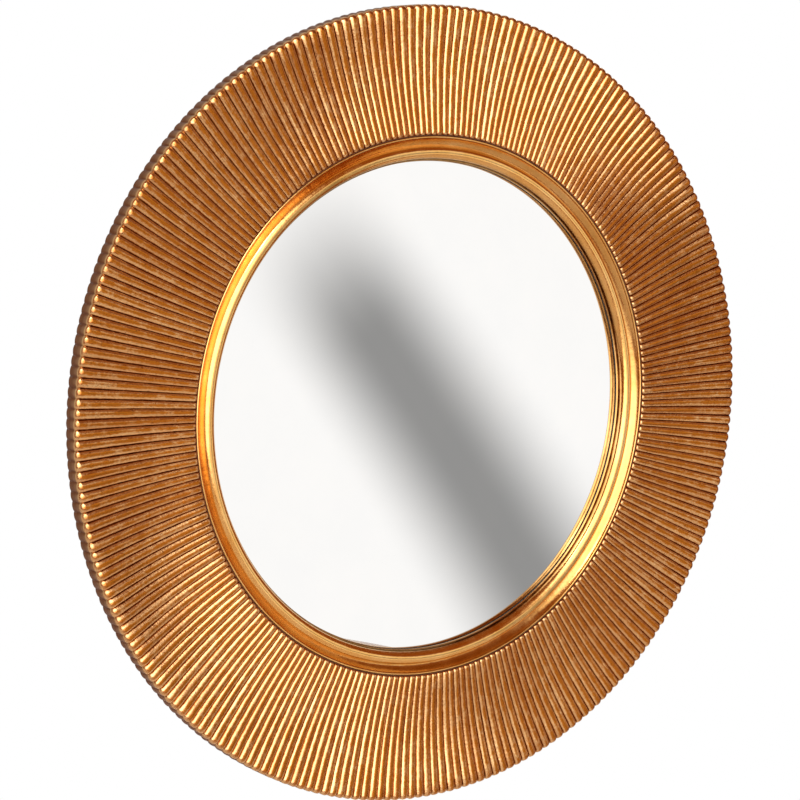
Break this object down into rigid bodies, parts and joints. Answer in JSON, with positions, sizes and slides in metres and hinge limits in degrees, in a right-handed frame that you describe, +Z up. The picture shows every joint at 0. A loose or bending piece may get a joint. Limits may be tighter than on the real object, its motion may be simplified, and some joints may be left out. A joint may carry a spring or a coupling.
{
  "type": "convex wall mirror",
  "caption": "Large round wall mirror with shallow convex glass, a polished gilt inner moulding and a wide ribbed gilt frame, hung by rings behind.",
  "frame": {"origin": "the point of the mirror's axis on the wall it hangs on", "axes": "-Y is the way the mirror faces, +Z is up as it hangs, +X is to the right of someone who looks at it"},
  "size_m": [0.9, 0.046, 0.9],
  "materials": {
    "gilded_ribs": "gold leaf over dark bole, worn on the crests",
    "gilded_moulding": "burnished gold leaf",
    "silvered_glass": "silvered behind, polished in front",
    "felt_strip": "soft strip",
    "foam": "soft foam",
    "fibreboard": "bare medium density fibreboard",
    "hardboard": "smooth brown hardboard",
    "zinc_steel": "bright zinc plating",
    "rubber": "matt black"
  },
  "bodies": {
    "frame": {"ribbed_frame": "gilded_ribs", "sight_moulding": "gilded_moulding", "mirror_glass": "silvered_glass", "glazing_gasket": "felt_strip", "foam_ring": "foam", "backing_ring": "fibreboard", "back_panel": "hardboard", "frame_screw_1": "zinc_steel", "frame_screw_2": "zinc_steel", "frame_screw_3": "zinc_steel", "frame_screw_4": "zinc_steel", "frame_screw_5": "zinc_steel", "frame_screw_6": "zinc_steel", "frame_screw_7": "zinc_steel", "frame_screw_8": "zinc_steel", "frame_screw_9": "zinc_steel", "frame_screw_10": "zinc_steel", "frame_screw_11": "zinc_steel", "frame_screw_12": "zinc_steel", "button_screw_1": "zinc_steel", "button_screw_2": "zinc_steel", "button_screw_3": "zinc_steel", "button_screw_4": "zinc_steel", "button_screw_5": "zinc_steel", "button_screw_6": "zinc_steel", "button_screw_7": "zinc_steel", "button_screw_8": "zinc_steel", "hanger_screw_1": "zinc_steel", "hanger_screw_2": "zinc_steel", "hanger_screw_3": "zinc_steel", "hanger_screw_4": "zinc_steel", "hanger_strap_left": "zinc_steel", "hanger_strap_right": "zinc_steel", "wall_bumper_1": "rubber", "wall_bumper_2": "rubber", "wall_bumper_3": "rubber", "wall_bumper_4": "rubber"},
    "button_1": {"turn_button_1": "zinc_steel"},
    "button_2": {"turn_button_2": "zinc_steel"},
    "button_3": {"turn_button_3": "zinc_steel"},
    "button_4": {"turn_button_4": "zinc_steel"},
    "button_5": {"turn_button_5": "zinc_steel"},
    "button_6": {"turn_button_6": "zinc_steel"},
    "button_7": {"turn_button_7": "zinc_steel"},
    "button_8": {"turn_button_8": "zinc_steel"},
    "ring_left": {"hanger_ring_left": "zinc_steel"},
    "ring_right": {"hanger_ring_right": "zinc_steel"}
  },
  "joints": [
    {"name": "button_1_turn", "type": "hinge", "parent": "frame", "child": "button_1", "pos_m": [0.29333, -0.0093, 0.1215], "axis": [0, -1, 0], "range_deg": [-90, 90]},
    {"name": "button_2_turn", "type": "hinge", "parent": "frame", "child": "button_2", "pos_m": [0.1215, -0.0093, 0.29333], "axis": [0, -1, 0], "range_deg": [-90, 90]},
    {"name": "button_3_turn", "type": "hinge", "parent": "frame", "child": "button_3", "pos_m": [-0.1215, -0.0093, 0.29333], "axis": [0, -1, 0], "range_deg": [-90, 90]},
    {"name": "button_4_turn", "type": "hinge", "parent": "frame", "child": "button_4", "pos_m": [-0.29333, -0.0093, 0.1215], "axis": [0, -1, 0], "range_deg": [-90, 90]},
    {"name": "button_5_turn", "type": "hinge", "parent": "frame", "child": "button_5", "pos_m": [-0.29333, -0.0093, -0.1215], "axis": [0, -1, 0], "range_deg": [-90, 90]},
    {"name": "button_6_turn", "type": "hinge", "parent": "frame", "child": "button_6", "pos_m": [-0.1215, -0.0093, -0.29333], "axis": [0, -1, 0], "range_deg": [-90, 90]},
    {"name": "button_7_turn", "type": "hinge", "parent": "frame", "child": "button_7", "pos_m": [0.1215, -0.0093, -0.29333], "axis": [0, -1, 0], "range_deg": [-90, 90]},
    {"name": "button_8_turn", "type": "hinge", "parent": "frame", "child": "button_8", "pos_m": [0.29333, -0.0093, -0.1215], "axis": [0, -1, 0], "range_deg": [-90, 90]},
    {"name": "ring_left_swing", "type": "hinge", "parent": "frame", "child": "ring_left", "pos_m": [-0.28914, -0.0066, 0.22407], "axis": [-1, 0, 0], "range_deg": [0, 170]},
    {"name": "ring_right_swing", "type": "hinge", "parent": "frame", "child": "ring_right", "pos_m": [0.28914, -0.0066, 0.22407], "axis": [-1, 0, 0], "range_deg": [0, 170]}
  ]
}
